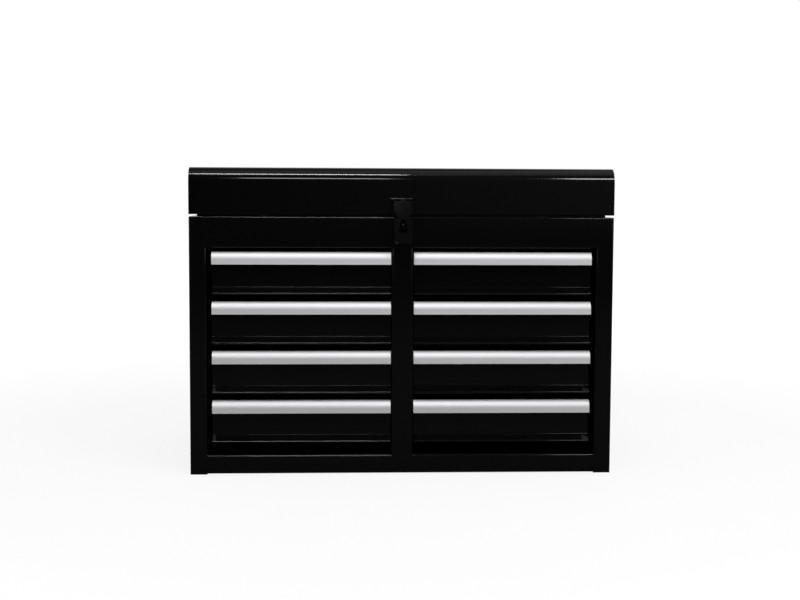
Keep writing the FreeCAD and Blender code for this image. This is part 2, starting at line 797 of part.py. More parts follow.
def stay_points():
    """Places (y, z) of the stay's pivots with the lid shut: on the body, on the lid, and the elbow between."""
    body = (HINGE_Y - math.sqrt(STAY_ARM**2 - BODY_PIVOT_DROP**2), HINGE_Z - BODY_PIVOT_DROP)
    lid = (HINGE_Y - math.sqrt(STAY_ARM**2 - LID_PIVOT_RISE**2), HINGE_Z + LID_PIVOT_RISE)
    elbow = (body[0] + lid[0] - HINGE_Y, body[1] + lid[1] - HINGE_Z)
    return body, lid, elbow


def stay_levels():
    """Outer and inner x of the lower arm and of the upper arm."""
    lower = (-HALF + STAY_SET_IN, -HALF + STAY_SET_IN + STAY_SHEET)
    upper = (lower[1] + MOVING_GAP, lower[1] + MOVING_GAP + STAY_SHEET)
    return lower, upper


def arm(start, end, levels, extra):
    """Flat bar with clipped ends between two pivots, carried past the second by an extra length."""
    run = Vector(0, end[0] - start[0], end[1] - start[1])
    half = STAY_WIDTH / 2
    far = run.Length + extra + half
    low = half - STAY_CLIP
    outline = [
        (-half, -low), (-low, -half), (far - STAY_CLIP, -half), (far, -low),
        (far, low), (far - STAY_CLIP, half), (-low, half), (-half, low),
    ]
    bar = plate(outline, "yz", levels[0], levels[1])
    bar.rotate(Vector(0, 0, 0), Vector(1, 0, 0), math.degrees(math.atan2(run.z, run.y)))
    bar.translate(Vector(0, start[0], start[1]))
    return bar


def pivot_hole(point, levels):
    """Hole for a stay's pin."""
    return rod((levels[0] - 1, *point), (levels[1] + 1, *point), STAY_PIN_RADIUS + PIVOT_CLEARANCE)


def stay_lower():
    """Lower arm with the elbow's pin, and the stop that the upper arm comes to."""
    body, _, elbow = stay_points()
    lower, upper = stay_levels()
    bar = arm(body, elbow, lower, STOP_REACH).cut(pivot_hole(body, lower))
    pin = rod((lower[0], *elbow), (upper[1] + STAY_PIN_PROUD, *elbow), STAY_PIN_RADIUS)
    # the stop lies beside the upper arm's far edge once the lid has opened
    arm_way = math.atan2(body[1] - HINGE_Z, body[0] - HINGE_Y) + math.pi + math.radians(LID_OPENING)
    edge_way = arm_way + math.pi / 2
    stop_y = elbow[0] + STOP_REACH * math.cos(arm_way)
    stop_z = elbow[1] + STOP_REACH * math.sin(arm_way)
    off = STAY_WIDTH / 2 + MOVING_GAP
    stop = box(lower[0], upper[1], -STOP_LENGTH / 2, STOP_LENGTH / 2, off, off + STOP_THICKNESS)
    stop.rotate(Vector(0, 0, 0), Vector(1, 0, 0), math.degrees(edge_way) - 90)
    stop.translate(Vector(0, stop_y, stop_z))
    return joined([bar, pin, stop])


def stay_upper():
    """Upper arm between the elbow and the lid."""
    _, lid, elbow = stay_points()
    _, upper = stay_levels()
    return arm(lid, elbow, upper, 0).cut([pivot_hole(lid, upper), pivot_hole(elbow, upper)])


def stay_stud(point, levels, seat):
    """Stud from a wall through an arm's hole."""
    return rod((seat, *point), (levels[1] + STAY_PIN_PROUD, *point), STAY_PIN_RADIUS)


def body_stay_studs():
    """Studs on the compartment floor's side flanges."""
    body, _, _ = stay_points()
    lower, _ = stay_levels()
    stud = stay_stud(body, lower, -HALF + SHEET * 2 + SEAM)
    return group([stud, mirrored(stud)])


def lid_stay_studs():
    """Studs on the lid's end caps."""
    _, lid, _ = stay_points()
    _, upper = stay_levels()
    stud = stay_stud(lid, upper, -HALF + SHEET)
    return group([stud, mirrored(stud)])


# The side handles at the left, which the right side mirrors


def handle_plate():
    """Plate with two curled ears."""
    middle = DEPTH / 2
    half = HANDLE_PLATE_LENGTH / 2
    outer = -HALF - HANDLE_SHEET
    low = HANDLE_HEIGHT - HANDLE_PLATE_BELOW
    high = HANDLE_HEIGHT + HANDLE_PLATE_ABOVE
    clip = HANDLE_CORNER
    sheet = plate(
        [
            (middle - half, low + clip), (middle - half + clip, low),
            (middle + half - clip, low), (middle + half, low + clip),
            (middle + half, high - clip), (middle + half - clip, high),
            (middle - half + clip, high), (middle - half, high - clip),
        ],
        "yz", outer, -HALF,
    )
    ears = []
    for side in (-1, 1):
        start = middle + side * (EAR_PLACE - EAR_LENGTH / 2)
        end = middle + side * (EAR_PLACE + EAR_LENGTH / 2)
        ears.append(rod((-EAR_X, start, HANDLE_HEIGHT), (-EAR_X, end, HANDLE_HEIGHT), EAR_RADIUS))
        ears.append(box(outer, -HALF, start, end, HANDLE_HEIGHT - EAR_RADIUS, HANDLE_HEIGHT))
    bore = rod((-EAR_X, 0, HANDLE_HEIGHT), (-EAR_X, DEPTH, HANDLE_HEIGHT), BAIL_BORE)
    return joined([sheet] + ears).cut(bore)


def bail():
    """Round bar bent into a flat U, with its ends turned in through the ears."""
    middle = DEPTH / 2
    stub = EAR_PLACE - EAR_LENGTH / 2 - BAIL_RADIUS
    half = EAR_PLACE + EAR_LENGTH / 2 + BAIL_RADIUS + BAIL_CLEARANCE
    low = HANDLE_HEIGHT - BAIL_DROP
    corners = [
        (middle - stub, HANDLE_HEIGHT),
        (middle - half, HANDLE_HEIGHT),
        (middle - half, low + BAIL_BEND),
        (middle - half + BAIL_BEND, low),
        (middle + half - BAIL_BEND, low),
        (middle + half, low + BAIL_BEND),
        (middle + half, HANDLE_HEIGHT),
        (middle + stub, HANDLE_HEIGHT),
    ]
    path = Part.makePolygon([Vector(-EAR_X, y, z) for y, z in corners])
    profile = Part.Wire(Part.makeCircle(BAIL_RADIUS, Vector(-EAR_X, middle - stub, HANDLE_HEIGHT), Vector(0, 1, 0)))
    mitred = 1
    return path.makePipeShell([profile], True, False, mitred)


def chest():
    """Every sub-part by name."""
    side = left_side()
    end = left_lid_end()
    outer = outer_runners()
    inner = inner_runners()
    plate_left = handle_plate()
    bail_left = bail()
    lower = stay_lower()
    upper = stay_upper()
    parts = {
        "left_side": side,
        "right_side": mirrored(side),
        "back_panel": back_panel(),
        "bottom_pan": bottom_pan(),
        "compartment_floor": compartment_floor(),
        "front_header": front_header(),
        "bottom_rail": bottom_rail(),
        "centre_post": centre_post(),
        "left_outer_runners": outer,
        "left_inner_runners": inner,
        "right_inner_runners": mirrored(inner),
        "right_outer_runners": mirrored(outer),
        "hasp_staple": hasp_staple(),
        "body_hinge_leaves": hinge_leaves(-1, 0),
        "hinge_pins": hinge_pins(),
        "lid_bumpers": lid_bumpers(),
        "body_stay_studs": body_stay_studs(),
        "left_handle_plate": plate_left,
        "right_handle_plate": mirrored(plate_left),
        "lid_shell": lid_shell(),
        "left_lid_end": end,
        "right_lid_end": mirrored(end),
        "lid_hinge_leaves": hinge_leaves(1, 1),
        "hasp_leaf": hasp_leaf(),
        "hasp_pin": hasp_pin(),
        "lid_stay_studs": lid_stay_studs(),
        "hasp_strap": hasp_strap(),
        "left_stay_lower": lower,
        "left_stay_upper": upper,
        "right_stay_lower": mirrored(lower),
        "right_stay_upper": mirrored(upper),
        "left_bail": bail_left,
        "right_bail": mirrored(bail_left),
    }
    for row in range(ROWS):
        for name, build in (("tray", tray), ("front", drawer_front), ("pull", pull)):
            shape = build(row)
            parts[f"right_drawer_{row + 1}_{name}"] = shape
            parts[f"left_drawer_{row + 1}_{name}"] = mirrored(shape)
    return parts


def middle_depth(parts):
    """Half way between the foremost and the rearmost point."""
    boxes = [shape.BoundBox for shape in parts.values()]
    return (min(b.YMin for b in boxes) + max(b.YMax for b in boxes)) / 2


PARTS = chest()
# The origin is on the floor, under the middle of the whole chest
ORIGIN_Y = middle_depth(PARTS)
os.makedirs("parts", exist_ok=True)
for name, shape in PARTS.items():
    shape.translate(Vector(0, -ORIGIN_Y, 0))
    shape.exportStep(f"parts/{name}.step")
    print(name, len(shape.Solids), "valid" if shape.isValid() else "NOT VALID")
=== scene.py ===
"""Looks of a steel tool chest with a hinged lid, a hasp and eight drawers.

Lengths are in metres. x runs across the chest, y towards its back and z up from the floor.
"""

import json
import logging
import math
from collections.abc import Iterable
from dataclasses import dataclass, field
from enum import Enum

import bmesh
import bpy
from mathutils import Matrix, Vector

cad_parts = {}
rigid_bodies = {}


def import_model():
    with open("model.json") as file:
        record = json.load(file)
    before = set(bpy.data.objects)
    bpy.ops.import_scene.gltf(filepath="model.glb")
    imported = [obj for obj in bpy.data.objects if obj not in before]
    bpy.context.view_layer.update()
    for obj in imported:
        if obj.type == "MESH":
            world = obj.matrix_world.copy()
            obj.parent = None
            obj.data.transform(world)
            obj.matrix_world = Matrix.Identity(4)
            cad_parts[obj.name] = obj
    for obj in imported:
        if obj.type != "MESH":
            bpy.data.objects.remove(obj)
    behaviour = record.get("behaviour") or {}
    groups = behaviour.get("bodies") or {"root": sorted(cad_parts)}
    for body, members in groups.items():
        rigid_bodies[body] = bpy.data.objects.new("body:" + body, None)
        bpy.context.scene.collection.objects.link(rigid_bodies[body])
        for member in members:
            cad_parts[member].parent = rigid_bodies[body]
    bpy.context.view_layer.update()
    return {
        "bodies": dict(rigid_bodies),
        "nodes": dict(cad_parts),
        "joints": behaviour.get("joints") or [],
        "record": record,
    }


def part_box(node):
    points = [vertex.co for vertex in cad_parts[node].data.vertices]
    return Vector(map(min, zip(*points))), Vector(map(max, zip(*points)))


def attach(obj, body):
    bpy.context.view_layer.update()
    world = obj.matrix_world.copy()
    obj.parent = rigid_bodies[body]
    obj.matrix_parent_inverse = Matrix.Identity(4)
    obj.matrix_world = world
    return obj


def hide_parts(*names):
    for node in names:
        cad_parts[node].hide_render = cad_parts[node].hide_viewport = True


log = logging.getLogger("tool_chest")

Colour = tuple[float, float, float]
Place = tuple[float, float, float]
Span = tuple[float, float]
Tree = bpy.types.NodeTree
Socket = bpy.types.NodeSocket

MM = 0.001
QUARTER_TURN = math.radians(90)
# where two faces meet at more than this, the edge is shown sharp
SHARP_ANGLE = math.radians(35)
WHITE = (1.0, 1.0, 1.0)
# the values that a noise texture mostly keeps to
NOISE_SPAN = (0.25, 0.75)
# the two values of a socket that only says no or yes
NO_YES = (0.0, 1.0)


class Side(Enum):
    """The two sides of the chest, with the sign of x."""

    LEFT = -1
    RIGHT = 1


class Grain(Enum):
    """Direction in which a metal's drawing lines run."""

    ACROSS = (1.0, 0.0, 0.0)
    UPWARD = (0.0, 0.0, 1.0)


class Lighting(Enum):
    """What a lamp gives: all its light, only highlights, or only soft fill light.

    The values say whether its soft light and its reflection are there.
    """

    ALL = (True, True)
    HIGHLIGHTS = (False, True)
    FILL = (True, False)


class Kind(Enum):
    """What a node group's socket carries."""

    VALUE = "NodeSocketFloat"
    VECTOR = "NodeSocketVector"


# Shader helpers


def feed(tree: Tree, target: Socket, source: object) -> None:
    """Gives a node's input what it follows.

    Args:
        tree: The node tree.
        target: The input.
        source: The socket that it is linked to, or a fixed value.
    """
    if isinstance(source, Socket):
        tree.links.new(source, target)
    elif target.type == "RGBA":
        target.default_value = (*source, 1.0)
    else:
        target.default_value = source


def set_up(tree: Tree, node: bpy.types.Node, **values: object) -> bpy.types.Node:
    """Gives a node its settings and inputs.

    Args:
        tree: The node tree that holds it.
        node: The node.
        values: Its settings, or its inputs where it has no such setting, with _ for a blank.

    Returns:
        The node.
    """
    for name, value in values.items():
        if hasattr(node, name):
            setattr(node, name, value)
        else:
            feed(tree, node.inputs[name.replace("_", " ")], value)
    return node


def add_node(tree: Tree, kind: str, **values: object) -> bpy.types.Node:
    """Adds a shader node.

    Args:
        tree: The node tree that takes it.
        kind: Blender's name of the node type.
        values: Its settings and inputs, as set_up takes them.

    Returns:
        The new node.
    """
    return set_up(tree, tree.nodes.new(kind), **values)


def add_noise(tree: Tree, place: Socket, scale: float | Socket, detail: float, roughness: float) -> Socket:
    """Adds a noise texture.

    Args:
        tree: The node tree.
        place: The coordinates that it follows.
        scale: How fine it is.
        detail: How many finer layers lie over it.
        roughness: How strong the finer layers are.

    Returns:
        The socket of its value.
    """
    noise = add_node(
        tree, "ShaderNodeTexNoise", Vector=place, Scale=scale, Detail=detail, Roughness=roughness
    )
    return noise.outputs["Fac"]


def graded(tree: Tree, value: Socket, reach: Span,
           levels: tuple[float | Socket, float | Socket] = NO_YES) -> Socket:
    """Grades a level over the reach of a value, and holds it past both ends.

    Args:
        tree: The node tree.
        value: The value that it follows.
        reach: The value at each end.
        levels: The level at each end, or the socket that gives it.

    Returns:
        The socket of the level.
    """
    grade = add_node(
        tree, "ShaderNodeMapRange", Value=value, From_Min=reach[0], From_Max=reach[1], To_Min=levels[0],
        To_Max=levels[1],
    )
    return grade.outputs["Result"]


def combined(tree: Tree, operation: str, first: Socket, second: Socket) -> Socket:
    """Works out one value from two.

    Args:
        tree: The node tree.
        operation: Blender's name of the calculation.
        first: The first value.
        second: The second value.

    Returns:
        The socket of the result.
    """
    worked_out = add_node(tree, "ShaderNodeMath", operation=operation)
    for target, source in zip(worked_out.inputs, (first, second)):
        feed(tree, target, source)
    return worked_out.outputs["Value"]


def mixed(tree: Tree, share: Socket, first: Colour | Socket, second: Colour | Socket) -> Socket:
    """Mixes two colours.

    Args:
        tree: The node tree.
        share: Share of the second colour.
        first: The first colour, or the socket that gives it.
        second: The second colour, or the socket that gives it.

    Returns:
        The socket of the mixed colour.
    """
    mix = add_node(tree, "ShaderNodeMix", data_type="RGBA", Factor=share)
    ends = [socket for socket in mix.inputs if socket.type == "RGBA"]
    for target, colour in zip(ends, (first, second)):
        feed(tree, target, colour)
    return next(socket for socket in mix.outputs if socket.type == "RGBA")


def along_axes(tree: Tree, vector: Socket) -> bpy.types.NodeOutputs:
    """Splits a vector into the sockets X, Y and Z."""
    return add_node(tree, "ShaderNodeSeparateXYZ", Vector=vector).outputs


# Effects that the finishes share


def new_group(name: str, amounts: tuple[str, ...], results: dict[str, Kind]) -> Tree:
    """Starts a shader node group that follows coordinates, given to it as Place.

    Args:
        name: Name of the group.
        amounts: Names of its other inputs, which are all values.
        results: Names of its outputs, each with its kind.

    Returns:
        The group, with its input node "in" and its output node "out".
    """
    group = bpy.data.node_groups.new(name, "ShaderNodeTree")
    group.interface.new_socket(name="Place", in_out="INPUT", socket_type=Kind.VECTOR.value)
    for label in amounts:
        group.interface.new_socket(name=label, in_out="INPUT", socket_type=Kind.VALUE.value)
    for label, kind in results.items():
        group.interface.new_socket(name=label, in_out="OUTPUT", socket_type=kind.value)
    group.nodes.new("NodeGroupInput").name = "in"
    group.nodes.new("NodeGroupOutput").name = "out"
    return group


@dataclass(frozen=True)
class PaintSkin:
    """Fine ripple of a coat over the slow wave of its sheet, with a slow change of gloss."""

    ripple_detail: float = 3.0
    ripple_roughness: float = 0.55
    ripple_depth: float = 0.2 * MM
    wave_scale: float = 4.0
    wave_detail: float = 1.0
    wave_roughness: float = 0.5
    wave_depth: float = 2.0 * MM
    gloss_scale: float = 14.0
    gloss_detail: float = 4.0
    gloss_roughness: float = 0.6

    def build(self) -> Tree:
        """Makes the group.

        Returns:
            A group that gives a normal and a gloss value around 0.5.
        """
        group = new_group(
            "paint skin", ("Ripple Scale", "Ripple Height", "Sheet Wave"),
            {"Normal": Kind.VECTOR, "Gloss": Kind.VALUE},
        )
        given = group.nodes["in"].outputs
        place = given["Place"]
        wave = add_noise(group, place, self.wave_scale, self.wave_detail, self.wave_roughness)
        swell = add_node(
            group, "ShaderNodeBump", Distance=self.wave_depth, Strength=given["Sheet Wave"], Height=wave
        )
        ripple = add_noise(
            group, place, given["Ripple Scale"], self.ripple_detail, self.ripple_roughness
        )
        bump = add_node(
            group, "ShaderNodeBump", Distance=self.ripple_depth, Strength=given["Ripple Height"],
            Height=ripple, Normal=swell.outputs["Normal"],
        )
        gloss = add_noise(group, place, self.gloss_scale, self.gloss_detail, self.gloss_roughness)
        set_up(group, group.nodes["out"], Normal=bump.outputs["Normal"], Gloss=gloss)
        return group


@dataclass(frozen=True)
class SettledDust:
    """Thin dust that lies where a surface faces up."""

    detail: float = 5.0
    roughness: float = 0.7
    speck_reach: Span = (0.5, 0.85)
    upward_reach: Span = (0.3, 0.95)

    def build(self) -> Tree:
        """Makes the group.

        Returns:
            A group that gives a mask from 0 to 1.
        """
        group = new_group("settled dust", ("Scale", "Amount"), {"Mask": Kind.VALUE})
        given = group.nodes["in"].outputs
        noise = add_noise(group, given["Place"], given["Scale"], self.detail, self.roughness)
        specks = graded(group, noise, self.speck_reach)
        facing = add_node(group, "ShaderNodeNewGeometry").outputs["Normal"]
        upward = graded(group, along_axes(group, facing)["Z"], self.upward_reach)
        lying = combined(group, "MULTIPLY", specks, upward)
        set_up(group, group.nodes["out"], Mask=combined(group, "MULTIPLY", lying, given["Amount"]))
        return group


@dataclass(frozen=True)
class DrawnLines:
    """Fine lines left along a metal by drawing or brushing."""

    scale: float = 1.0
    detail: float = 4.0
    roughness: float = 0.65
    depth: float = 0.05 * MM

    def build(self) -> Tree:
        """Makes the group.

        Returns:
            A group that gives a line value around 0.5 and a normal.
        """
        group = new_group("drawn lines", ("Line Height",), {"Lines": Kind.VALUE, "Normal": Kind.VECTOR})
        given = group.nodes["in"].outputs
        lines = add_noise(group, given["Place"], self.scale, self.detail, self.roughness)
        bump = add_node(
            group, "ShaderNodeBump", Distance=self.depth, Strength=given["Line Height"], Height=lines
        )
        set_up(group, group.nodes["out"], Lines=lines, Normal=bump.outputs["Normal"])
        return group


@dataclass
class Effects:
    """The shared node groups, built once."""

    paint_skin: Tree = field(init=False)
    dust: Tree = field(init=False)
    drawn_lines: Tree = field(init=False)

    def __post_init__(self) -> None:
        """Builds the groups."""
        self.paint_skin = PaintSkin().build()
        self.dust = SettledDust().build()
        self.drawn_lines = DrawnLines().build()


# Finishes


def new_material(name: str) -> tuple[bpy.types.Material, bpy.types.Node, Socket]:
    """Makes a node material with a principled shader.

    Args:
        name: Name of the material.

    Returns:
        The material, its principled shader and the socket of the object's coordinates.
    """
    material = bpy.data.materials.new(name)
    material.use_nodes = True
    tree = material.node_tree
    place = add_node(tree, "ShaderNodeTexCoord").outputs["Object"]
    return material, tree.nodes["Principled BSDF"], place


def use_group(tree: Tree, group: Tree, place: Socket, **values: float) -> bpy.types.NodeOutputs:
    """Places a shared group in a material.

    Args:
        tree: The material's node tree.
        group: The shared node group.
        place: The coordinates that it follows.
        values: Values of the group's other inputs.

    Returns:
        The group's outputs.
    """
    return add_node(tree, "ShaderNodeGroup", node_tree=group, Place=place, **values).outputs


@dataclass(frozen=True)
class BlackPaint:
    """Baked black enamel on sheet steel."""

    name: str = "black enamel"
    dark: Colour = (0.0012, 0.0012, 0.0013)
    light: Colour = (0.0021, 0.0021, 0.0022)
    roughness: Span = (0.06, 0.1)
    specular: float = 0.17
    ripple_scale: float = 420.0
    ripple_height: float = 0.004
    sheet_wave: float = 0.03
    dust_colour: Colour = (0.05, 0.05, 0.048)
    dust_scale: float = 220.0
    dust_amount: float = 0.10

    def build(self, effects: Effects) -> bpy.types.Material:
        """Makes the material.

        Args:
            effects: The shared node groups.

        Returns:
            The material.
        """
        material, shader, place = new_material(self.name)
        tree = material.node_tree
        skin = use_group(
            tree, effects.paint_skin, place, Ripple_Scale=self.ripple_scale,
            Ripple_Height=self.ripple_height, Sheet_Wave=self.sheet_wave,
        )
        dust = use_group(tree, effects.dust, place, Scale=self.dust_scale, Amount=self.dust_amount)
        clean = mixed(tree, skin["Gloss"], self.dark, self.light)
        set_up(
            tree, shader, Base_Color=mixed(tree, dust["Mask"], clean, self.dust_colour),
            Roughness=graded(tree, skin["Gloss"], NOISE_SPAN, self.roughness), Normal=skin["Normal"],
            Specular_IOR_Level=self.specular,
        )
        return material


@dataclass(frozen=True)
class DrawnMetal:
    """Bare metal with fine lines along one direction.

    The lines' scale along and across that direction makes them long and narrow.
    """

    name: str
    dark: Colour
    light: Colour
    roughness: Span
    grain: Grain = Grain.ACROSS
    along: float = 6.0
    crosswise: float = 900.0
    line_height: float = 0.12

    def build(self, effects: Effects) -> bpy.types.Material:
        """Makes the material.

        Args:
            effects: The shared node groups.

        Returns:
            The material.
        """
        material, shader, place = new_material(self.name)
        tree = material.node_tree
        scale = [self.along if part else self.crosswise for part in self.grain.value]
        stretched = add_node(tree, "ShaderNodeMapping", Vector=place, Scale=scale).outputs["Vector"]
        drawn = use_group(tree, effects.drawn_lines, stretched, Line_Height=self.line_height)
        set_up(
            tree, shader, Base_Color=mixed(tree, drawn["Lines"], self.dark, self.light), Metallic=1.0,
            Roughness=graded(tree, drawn["Lines"], NOISE_SPAN, self.roughness), Normal=drawn["Normal"],
        )
        return material


@dataclass(frozen=True)
class MouldedRubber:
    """Matt black rubber with a pebbled skin."""

    name: str = "black rubber"
    dark: Colour = (0.0012, 0.0012, 0.0012)
    light: Colour = (0.0025, 0.0025, 0.0025)
    roughness: Span = (0.7, 0.85)
    specular: float = 0.1
    pebble_scale: float = 2500.0
    pebble_height: float = 0.3
    unevenness: float = 0.03

    def build(self, effects: Effects) -> bpy.types.Material:
        """Makes the material.

        Args:
            effects: The shared node groups.

        Returns:
            The material.
        """
        material, shader, place = new_material(self.name)
        tree = material.node_tree
        skin = use_group(
            tree, effects.paint_skin, place, Ripple_Scale=self.pebble_scale,
            Ripple_Height=self.pebble_height, Sheet_Wave=self.unevenness,
        )
        set_up(
            tree, shader, Base_Color=mixed(tree, skin["Gloss"], self.dark, self.light),
            Roughness=graded(tree, skin["Gloss"], NOISE_SPAN, self.roughness), Normal=skin["Normal"],
            Specular_IOR_Level=self.specular,
        )
        return material


@dataclass
class Finishes:
    """Every finish of the chest, built once."""

    effects: Effects
    paint: bpy.types.Material = field(init=False)
    aluminium: bpy.types.Material = field(init=False)
    zinc: bpy.types.Material = field(init=False)
    bright: bpy.types.Material = field(init=False)
    rubber: bpy.types.Material = field(init=False)

    def __post_init__(self) -> None:
        """Builds the materials."""
        self.paint = BlackPaint().build(self.effects)
        self.aluminium = DrawnMetal(
            "satin aluminium", dark=(0.68, 0.68, 0.69), light=(0.75, 0.75, 0.76), roughness=(0.64, 0.72),
        ).build(self.effects)
        self.zinc = DrawnMetal(
            "zinc plate", dark=(0.34, 0.34, 0.34), light=(0.48, 0.48, 0.47), roughness=(0.34, 0.5),
            along=40.0, crosswise=260.0,
        ).build(self.effects)
        self.bright = DrawnMetal(
            "bright bar", dark=(0.5, 0.5, 0.51), light=(0.58, 0.58, 0.59), roughness=(0.12, 0.2),
            grain=Grain.UPWARD, line_height=0.04,
        ).build(self.effects)
        self.rubber = MouldedRubber().build(self.effects)


# Pieces of the chest


def new_piece(name: str, mesh: bmesh.types.BMesh, finish: bpy.types.Material, body: str) -> bpy.types.Object:
    """Turns a bmesh into a shown piece.

    Args:
        name: Name of the piece.
        mesh: Its shape, in place.
        finish: Its material.
        body: The moving body that it rides on.

    Returns:
        The piece.
    """
    data = bpy.data.meshes.new(name)
    mesh.to_mesh(data)
    mesh.free()
    data.materials.append(finish)
    for polygon in data.polygons:
        polygon.use_smooth = True
    data.set_sharp_from_angle(angle=SHARP_ANGLE)
    piece = bpy.data.objects.new(name, data)
    bpy.context.scene.collection.objects.link(piece)
    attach(piece, body)
    log.info("%s: %d faces", name, len(data.polygons))
    return piece


@dataclass
class SubAssembly:
    """A group of the chest's pieces that is dressed together.

    The solids keep their shape and get their finish here, and the small pieces that they lack are
    modelled.
    """

    frame: dict
    finishes: Finishes

    def dress(self, names: Iterable[str], finish: bpy.types.Material) -> None:
        """Gives solids their finish.

        Args:
            names: The solids' node names.
            finish: The material.
        """
        for name in names:
            solid = self.frame["nodes"][name]
            solid.data.materials.clear()
            solid.data.materials.append(finish)
            log.info("%s: %s", name, finish.name)


@dataclass
class RivetHeads:
    """Domed heads in a plate, all facing one way."""

    name: str
    body: str
    places: list[Vector]
    outward: Vector
    radius: float
    height: float
    segments: int = 20
    dome_share: float = 0.9
    dome_steps: int = 3

    def build(self, finish: bpy.types.Material, slot: str) -> bpy.types.Object:
        """Models the heads.

        Args:
            finish: The heads' material.
            slot: The record's slot of that material; it is not used.

        Returns:
            One piece with all the heads.
        """
        heads = bmesh.new()
        turn = self.outward.to_track_quat("Z", "Y").to_matrix().to_4x4()
        raised = Matrix.Translation((0.0, 0.0, self.height / 2))
        for place in self.places:
            made = bmesh.ops.create_cone(
                heads, cap_ends=True, segments=self.segments, radius1=self.radius, radius2=self.radius,
                depth=self.height, matrix=Matrix.Translation(place) @ turn @ raised,
            )
            rim = {
                edge for corner in made["verts"] for edge in corner.link_edges
                if all(self.outward.dot(end.co - place) > self.height / 2 for end in edge.verts)
            }
            bmesh.ops.bevel(
                heads, geom=list(rim), offset=self.height * self.dome_share, segments=self.dome_steps,
                profile=0.5, affect="EDGES", material=-1,
            )
        return new_piece(self.name, heads, finish, self.body)


@dataclass
class Cabinet(SubAssembly):
    """Painted body with its frame, floors, runners and the rubber pads for the lid."""

    panels: tuple[str, ...] = (
        "left_side", "right_side", "back_panel", "bottom_pan", "compartment_floor", "front_header",
        "bottom_rail", "centre_post", "left_outer_runners", "left_inner_runners",
        "right_inner_runners", "right_outer_runners",
    )

    def build(self) -> None:
        """Dresses the body."""
        self.dress(self.panels, self.finishes.paint)
        self.dress(["lid_bumpers"], self.finishes.rubber)


@dataclass
class Lid(SubAssembly):
    """Wrapped lid with its two end caps."""

    def build(self) -> None:
        """Dresses the lid."""
        self.dress(["lid_shell", "left_lid_end", "right_lid_end"], self.finishes.paint)


@dataclass
class Hinges(SubAssembly):
    """Two butt hinges at the back, riveted to the lid and the body."""

    half_leaf: float = 36.0 * MM
    leaf_sheet: float = 1.0 * MM
    rivets_across: tuple[float, ...] = (-25.0 * MM, 0.0, 25.0 * MM)
    rivet_rise: float = 12.5 * MM
    rivet_radius: float = 3.2 * MM
    rivet_height: float = 0.9 * MM

    def build(self) -> None:
        """Dresses the leaves and adds their rivets."""
        self.dress(["body_hinge_leaves", "lid_hinge_leaves", "hinge_pins"], self.finishes.zinc)
        self.rivets("body_hinge_rivets", "cabinet", -1)
        self.rivets("lid_hinge_rivets", "lid", 1)

    def rivets(self, name: str, body: str, upward: int) -> None:
        """Adds the rivets of one row of leaves.

        Args:
            name: Name of the piece.
            body: The body that the leaves are on.
            upward: 1 for the leaves above the pin and -1 for those below.
        """
        pin_low, pin_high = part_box("hinge_pins")
        leaf_low, leaf_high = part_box("body_hinge_leaves")
        height = (pin_low[2] + pin_high[2]) / 2 + upward * self.rivet_rise
        face = leaf_low[1] + self.leaf_sheet
        middle = leaf_high[0] - self.half_leaf
        places = [
            Vector((side.value * middle + across, face, height))
            for side in Side for across in self.rivets_across
        ]
        backward = Vector((0.0, 1.0, 0.0))
        heads = RivetHeads(name, body, places, backward, self.rivet_radius, self.rivet_height)
        heads.build(self.finishes.zinc, "zinc_plate")


@dataclass
class Hasp(SubAssembly):
    """Slotted strap, its leaf and pin on the lid, and the staple on the header.

    The rivets' places are given from the middle of the plate, and up as a share of its height.
    """

    plate_sheet: float = 1.5 * MM
    leaf_rivets: Span = (8.0 * MM, 0.38)
    staple_rivets: Span = (6.2 * MM, 0.5)
    rivet_radius: float = 2.2 * MM
    rivet_height: float = 0.8 * MM
    rivet_segments: int = 16

    def build(self) -> None:
        """Dresses the hasp and adds its rivets."""
        self.dress(["hasp_strap", "hasp_leaf", "hasp_pin", "hasp_staple"], self.finishes.paint)
        self.rivets("hasp_leaf_rivets", "lid", "hasp_leaf", *self.leaf_rivets)
        self.rivets("staple_rivets", "cabinet", "hasp_staple", *self.staple_rivets)

    def rivets(self, name: str, body: str, plate: str, across: float, up: float) -> None:
        """Adds a rivet at each side of a plate.

        Args:
            name: Name of the piece.
            body: The body that the plate is on.
            plate: The plate's node.
            across: How far the rivets are from the middle.
            up: Their height as a share of the plate's.
        """
        low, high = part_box(plate)
        face = high[1] - self.plate_sheet
        height = low[2] + up * (high[2] - low[2])
        places = [Vector((side.value * across, face, height)) for side in Side]
        forward = Vector((0.0, -1.0, 0.0))
        heads = RivetHeads(
            name, body, places, forward, self.rivet_radius, self.rivet_height, self.rivet_segments
        )
        heads.build(self.finishes.paint, "black_paint")


